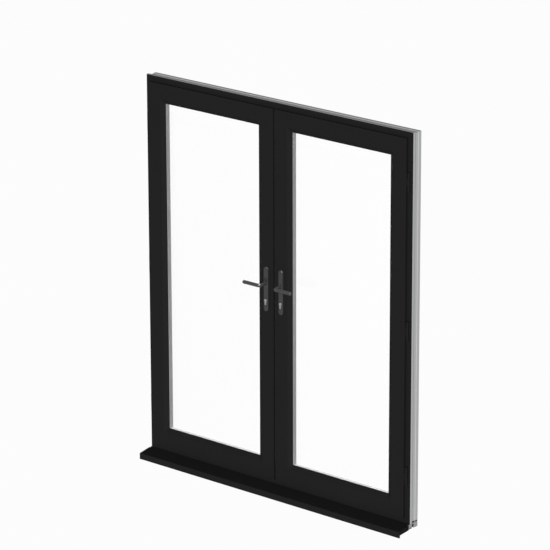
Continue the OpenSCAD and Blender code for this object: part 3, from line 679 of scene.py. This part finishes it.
def finish_for(name):
    slot = slot_of[name]
    owner = next((leaf for leaf in LEAVES if name.startswith(leaf + "_")), "frame")
    if name == "cill":
        return foil_of["cill"]
    if name == "frame_bottom_rail":
        return foil_of["foot"]
    if slot == "foiled_profile":
        return foil_of[owner]
    if slot == "pane_glass":
        return glass_of[owner]
    if name.endswith("glazing_gaskets"):
        return finish["glazing_rubber"]
    if name.endswith("outer_lever"):
        return finish["lever_metal"]
    return finish[slot]


for name, solid in frame["nodes"].items():
    solid.data.materials.clear()
    solid.data.materials.append(finish_for(name))
print("dressed", len(frame["nodes"]), "solids")

# %% [markdown]
# ## Small pieces from rings
# Screw heads and key plugs are turned parts with a recess. Both can be made as a stack of rings: each ring
# gives a radius for every angle around the axis, so a round rim and a cross-shaped or slot-shaped recess are
# the same kind of ring. Joining ring to ring with quads gives a clean closed skin, without boolean cuts.

# %% Ring builder
RING_SIDES = 48
NEARLY_ZERO = 1e-6
SMOOTH_ANGLE = 35
RUBBER_SMOOTH_ANGLE = 50
X_AXIS, Y_AXIS, Z_AXIS = Vector((1, 0, 0)), Vector((0, 1, 0)), Vector((0, 0, 1))


def round_ring(radius):
    return lambda angle: radius


def box_ring(half_w, half_h, share=1.0):
    def radius(angle):
        across, up = abs(math.cos(angle)), abs(math.sin(angle))
        return share * min(half_w / max(across, NEARLY_ZERO), half_h / max(up, NEARLY_ZERO))
    return radius


def cross_ring(arm, half_w, share=1.0):
    level, upright = box_ring(arm, half_w), box_ring(half_w, arm)
    return lambda angle: share * max(level(angle), upright(angle))


def stack_rings(verts, faces, centre, out, up, rings):
    """Adds a skin over rings of (radius by angle, height) to the lists of points and faces."""
    side = up.cross(out)
    first = len(verts)
    for radius, height in rings:
        for i in range(RING_SIDES):
            angle = 2 * math.pi * i / RING_SIDES
            r = radius(angle)
            verts.append(centre + side * (r * math.cos(angle)) + up * (r * math.sin(angle)) + out * height)
    for k in range(len(rings) - 1):
        a, b = first + k * RING_SIDES, first + (k + 1) * RING_SIDES
        for i in range(RING_SIDES):
            j = (i + 1) % RING_SIDES
            faces.append((a + i, a + j, b + j, b + i))
    last = first + (len(rings) - 1) * RING_SIDES
    faces.append(tuple(range(last, last + RING_SIDES)))
    faces.append(tuple(reversed(range(first, first + RING_SIDES))))


def build_piece(name, verts, faces, body, slot, smooth_angle=SMOOTH_ANGLE):
    mesh = bpy.data.meshes.new(name)
    mesh.from_pydata([tuple(v) for v in verts], [], faces)
    mesh.validate()
    mesh.materials.append(finish[slot])
    mesh.shade_smooth()
    mesh.set_sharp_from_angle(angle=math.radians(smooth_angle))
    piece = bpy.data.objects.new(name, mesh)
    bpy.context.scene.collection.objects.link(piece)
    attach(piece, body)
    return piece


print("rings of", RING_SIDES, "sides")

# %% [markdown]
# ## Screws
# The room-side backplates are held by two screws each, the frame's hinge plates by three, the bolt keeps by
# two, and the long faceplate of the left leaf by a row. They are low cross-head screws. All screws of one
# kind on one body are one piece, because they come and go together.

# %% Screws
SCREW_R = {"plate": 4.2 * MM, "hinge": 2.9 * MM, "keep": 3.4 * MM, "lock": 3.4 * MM}
SCREW_PROUD = 0.7 * MM
DOME_RADIUS_SHARES = (1.0, 1.0, 0.95, 0.84, 0.70)
DOME_HEIGHT_SHARES = (-1.0, 0.30, 0.62, 0.88, 1.0)
RECESS_ARM = 0.62
RECESS_HALF_W = 0.17
RECESS_TAPER = 0.82
RECESS_FLOOR = -0.6
PLATE_SCREW_INSET = 15 * MM
HINGE_SCREW_SHARES = (0.15, 0.5, 0.85)
HINGE_SCREW_EDGE = 5.5 * MM
HINGE_PLATE_FACE = -2.5 * MM
HINGES_APART = 100 * MM
KEEP_SCREW_EDGE = 7 * MM
KEEP_THICK = 2 * MM
LOCK_SCREW_COUNT = 7
LOCK_SCREW_END = 60 * MM


def cross_screw(verts, faces, centre, out, up, radius):
    """A low dome, in shares of its radius and height, with a tapered cross sunk into it."""
    rings = [(round_ring(radius * share), height * SCREW_PROUD)
             for share, height in zip(DOME_RADIUS_SHARES, DOME_HEIGHT_SHARES)]
    for taper, height in ((1.0, 1.0), (RECESS_TAPER, RECESS_FLOOR)):
        rings.append((cross_ring(radius * RECESS_ARM, radius * RECESS_HALF_W, taper), height * SCREW_PROUD))
    stack_rings(verts, faces, centre, out, up, rings)


def screw_group(name, kind, places, body, slot):
    """One piece from places of (spot, way out, way up)."""
    verts, faces = [], []
    for spot, out, up in places:
        cross_screw(verts, faces, spot, out, up, SCREW_R[kind])
    return build_piece(name, verts, faces, body, slot)


def hinge_spans(right):
    """Bottom and top of each hinge on one jamb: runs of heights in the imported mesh, with gaps between."""
    solid = frame["nodes"]["frame_hinge_leaves"]
    heights = sorted({round(v.co.z, 4) for v in solid.data.vertices if (v.co.x > 0) == right})
    spans = [[heights[0]]]
    for z in heights[1:]:
        if z - spans[-1][-1] > HINGES_APART:
            spans.append([])
        spans[-1].append(z)
    return [(span[0], span[-1]) for span in spans]


def hinge_places():
    low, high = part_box("frame_hinge_leaves")
    for right in (False, True):
        x = high.x - HINGE_SCREW_EDGE if right else low.x + HINGE_SCREW_EDGE
        for bottom, top in hinge_spans(right):
            for share in HINGE_SCREW_SHARES:
                yield Vector((x, HINGE_PLATE_FACE, bottom + share * (top - bottom))), -Y_AXIS, Z_AXIS


def keep_places():
    low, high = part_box("bolt_keeps")
    keep_y = (low.y + high.y) / 2
    for leaf in LEAVES:
        bolt_low, bolt_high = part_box(f"{leaf}_top_bolt")
        bolt_x = (bolt_low.x + bolt_high.x) / 2
        reach = (high.x - low.x) / 2 - abs(bolt_x) - KEEP_SCREW_EDGE
        for side in (-1, 1):
            for z, out in ((low.z + KEEP_THICK, Z_AXIS), (high.z - KEEP_THICK, -Z_AXIS)):
                yield Vector((bolt_x + side * reach, keep_y, z)), out, Y_AXIS


def plate_places(leaf):
    low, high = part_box(f"{leaf}_inner_backplate")
    for z in (low.z + PLATE_SCREW_INSET, high.z - PLATE_SCREW_INSET):
        yield Vector(((low.x + high.x) / 2, high.y, z)), Y_AXIS, Z_AXIS


def lock_places():
    low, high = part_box("left_lock_faceplate")
    step = (high.z - low.z - 2 * LOCK_SCREW_END) / (LOCK_SCREW_COUNT - 1)
    for i in range(LOCK_SCREW_COUNT):
        yield Vector((high.x, (low.y + high.y) / 2, low.z + LOCK_SCREW_END + i * step)), X_AXIS, Z_AXIS


screws = [screw_group("hinge_screws", "hinge", hinge_places(), "frame", "hinge_metal"),
          screw_group("keep_screws", "keep", keep_places(), "frame", "lock_steel")]
for leaf in LEAVES:
    screws.append(screw_group(f"{leaf}_plate_screws", "plate", plate_places(leaf), f"{leaf}_leaf",
                              "handle_metal"))
screws.append(screw_group("left_faceplate_screws", "lock", lock_places(), "left_leaf", "lock_steel"))
print("screw groups", [p.name for p in screws])

# %% [markdown]
# ## Key plugs
# The lock cylinder shows a round plug at both ends, with a thin seam around it and a key slot. The solid
# already has the cylinder's outline and a slot, so the plug is a low turned disc seated on its face, with
# its own slot going in.

# %% Key plugs
KEY_PLUG_R = 6.6 * MM
KEY_PLUG_PROUD = 0.6 * MM
KEY_PLUG_SINK = 3.0 * MM
RIM_INSET_SHARES = (0.0, 0.0, 0.2, 0.5)
RIM_HEIGHT_SHARES = (-0.2, 0.5, 0.8, 1.0)
KEY_HALF_W = 0.9 * MM
KEY_HALF_H = 4.1 * MM
KEY_FLARE = 1.25
KEY_FLARE_LEAST = 0.2 * MM
KEY_FLARE_END = 0.6
CYLINDER_R = 8.5 * MM


def key_plug(verts, faces, centre, out):
    """A rim in shares of how proud the plug is, then a flared slot that goes straight in."""
    key = box_ring(KEY_HALF_W, KEY_HALF_H)

    def flared_key(angle):
        return max(KEY_FLARE * key(angle), key(angle) + KEY_FLARE_LEAST)

    rings = [(round_ring(KEY_PLUG_R - inset * KEY_PLUG_PROUD), height * KEY_PLUG_PROUD)
             for inset, height in zip(RIM_INSET_SHARES, RIM_HEIGHT_SHARES)]
    rings += [(flared_key, KEY_PLUG_PROUD), (key, KEY_FLARE_END * KEY_PLUG_PROUD), (key, -KEY_PLUG_SINK)]
    stack_rings(verts, faces, centre, out, Z_AXIS, rings)


for leaf in LEAVES:
    verts, faces = [], []
    low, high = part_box(f"{leaf}_lock_cylinder")
    middle_x = (low.x + high.x) / 2
    axis_z = high.z - CYLINDER_R
    key_plug(verts, faces, Vector((middle_x, low.y, axis_z)), -Y_AXIS)
    key_plug(verts, faces, Vector((middle_x, high.y, axis_z)), Y_AXIS)
    build_piece(f"{leaf}_key_plugs", verts, faces, f"{leaf}_leaf", "cylinder_metal")
print("key plugs on", len(LEAVES), "cylinders")

# %% [markdown]
# ## Dark plugs as painted shade
# The frame's hollows are open at the foot of each jamb, and so is the bracket slot under the cill. Dark
# plugs fill these openings as painted shade: they stand for the shadow deep inside the hollows. Each plug is
# a low cushion: two rings shaped as a box, and a smaller one on top that gives the pressed edge. The places
# are measured in from the jamb's outer side, back from the frame's face and up from the cill's seat.

# %% Dark plugs as painted shade
SHADE_PLUG_LIP = 0.8 * MM
SHADE_PLUG_EDGE = 0.6
SHADE_PLUG_CUSHION = 0.90
SHADE_PLUG_DEPTH = 3.0 * MM
SHADE_PLUG_PLACES_MM = {
    "channel foot": {"inset": 4.5, "back": (16.5, 40.0), "up": (28.2, 34.0)},
    "rear step": {"inset": 2.0, "back": (50.0, 63.0), "up": (28.2, 33.0)},
    "bracket slot": {"inset": 0.0, "back": (17.0, 30.0), "up": (7.0, 23.0)},
    "seat hollow": {"inset": 0.0, "back": (-3.0, 7.5), "up": (3.0, 7.5)},
}


def build_shade_plugs():
    verts, faces = [], []
    frame_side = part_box("frame_right_jamb")[1].x
    for side in (-1, 1):
        for place in SHADE_PLUG_PLACES_MM.values():
            near, far = (v * MM for v in place["back"])
            bottom, top = (v * MM for v in place["up"])
            half_d, half_h = (far - near) / 2, (top - bottom) / 2
            x = side * (frame_side - place["inset"] * MM)
            centre = Vector((x, (near + far) / 2, (bottom + top) / 2))
            stack_rings(verts, faces, centre, side * X_AXIS, Z_AXIS, [
                (box_ring(half_d, half_h), -SHADE_PLUG_DEPTH),
                (box_ring(half_d, half_h), SHADE_PLUG_EDGE * SHADE_PLUG_LIP),
                (box_ring(half_d, half_h, SHADE_PLUG_CUSHION), SHADE_PLUG_LIP),
            ])
    # Painted shade: dark rubber fills the open hollows, in place of the shadow inside them.
    return build_piece("dark_shade_plugs", verts, faces, "frame", "gasket_rubber")


print("end plugs", len(build_shade_plugs().data.polygons), "faces")

# %% [markdown]
# ## Rubber seals
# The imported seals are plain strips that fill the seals' room. The real ones are extruded bulbs, cut at 45
# degrees and welded at the corners. A bulb is a short outline, and its corners are the same outline shifted
# in from each corner of the rectangle, so the mitres come by themselves. The leaves' seals stop at the
# meeting edge, so they are swept along three sides only.

# %% Seals
BULB_STEPS = 14
BULB_HALF_W = 0.44
BULB_FOOT = 0.35
SEAL_W = 5.0 * MM


def bulb_outline(base_y, tip_y):
    """Points of (inset, depth) over half a bulb, from one foot to the other."""
    points = [(0.0, base_y)]
    for i in range(BULB_STEPS + 1):
        angle = math.pi * i / BULB_STEPS
        inset = SEAL_W * (0.5 - BULB_HALF_W * math.cos(angle))
        depth = base_y + (tip_y - base_y) * (BULB_FOOT + (1 - BULB_FOOT) * math.sin(angle))
        points.append((inset, depth))
    points.append((SEAL_W, base_y))
    return points


def build_seal(name, body, stations, outline, closed):
    """Joins an outline from corner to corner. A station is a point and the way that is inward there."""
    verts, faces = [], []
    count = len(outline)
    for x, z, in_x, in_z in stations:
        verts.extend(Vector((x + in_x * u, y, z + in_z * u)) for u, y in outline)
    for k in range(len(stations) if closed else len(stations) - 1):
        a, b = k * count, (k + 1) % len(stations) * count
        for i in range(count):
            j = (i + 1) % count
            faces.append((a + i, a + j, b + j, b + i))
    if not closed:
        faces.append(tuple(reversed(range(count))))
        faces.append(tuple(range(len(verts) - count, len(verts))))
    return build_piece(name, verts, faces, body, "gasket_rubber", RUBBER_SMOOTH_ANGLE)


def build_frame_seal():
    low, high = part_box("frame_gasket")
    corners = [(low.x, low.z, 1, 1), (high.x, low.z, -1, 1),
               (high.x, high.z, -1, -1), (low.x, high.z, 1, -1)]
    seal = build_seal("frame_bulb_seal", "frame", corners, bulb_outline(high.y, low.y), closed=True)
    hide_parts("frame_gasket")
    return seal


def build_leaf_seal(leaf):
    low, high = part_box(f"{leaf}_weather_seal")
    shut, meet, inward = (low.x, high.x, 1) if leaf == "left" else (high.x, low.x, -1)
    path = [(meet, low.z, 0, 1), (shut, low.z, inward, 1),
            (shut, high.z, inward, -1), (meet, high.z, 0, -1)]
    outline = bulb_outline(low.y, high.y)
    seal = build_seal(f"{leaf}_bulb_seal", f"{leaf}_leaf", path, outline, closed=False)
    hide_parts(f"{leaf}_weather_seal")
    return seal


print("seals", [build_frame_seal().name] + [build_leaf_seal(leaf).name for leaf in LEAVES])

# %% [markdown]
# ## The seal where the leaves meet
# The meeting profile stops short of the other leaf, so that the leaves can swing past each other. A thin
# rubber flipper on its front corner closes what is left. It is one outline, a tapered tongue, drawn out
# along the height.

# %% Meeting seal
TONGUE_REACH = 2.4 * MM
TONGUE_ROOT = 2.0 * MM
TONGUE_TIP = 0.4 * MM
TONGUE_BOW = 0.3 * MM
TONGUE_STEPS = 6


def tongue_outline(root_x, front_y):
    """Points of the tongue from its front root over the tip to its back root, as (x, y)."""
    front, back = [], []
    for i in range(TONGUE_STEPS + 1):
        share = i / TONGUE_STEPS
        x = root_x - TONGUE_REACH * share
        bow = TONGUE_BOW * math.sin(math.pi * share)
        front.append((x, front_y + bow))
        back.append((x, front_y + bow + TONGUE_ROOT + (TONGUE_TIP - TONGUE_ROOT) * share))
    return front + back[::-1]


def build_meeting_seal():
    low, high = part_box("right_meeting_profile")
    outline = tongue_outline(low.x, low.y)
    count = len(outline)
    verts = [Vector((x, y, z)) for z in (low.z, high.z) for x, y in outline]
    faces = [(i, (i + 1) % count, count + (i + 1) % count, count + i) for i in range(count)]
    faces += [tuple(reversed(range(count))), tuple(range(count, 2 * count))]
    return build_piece("meeting_seal", verts, faces, "right_leaf", "gasket_rubber", RUBBER_SMOOTH_ANGLE)


print("meeting seal", len(build_meeting_seal().data.vertices), "points")
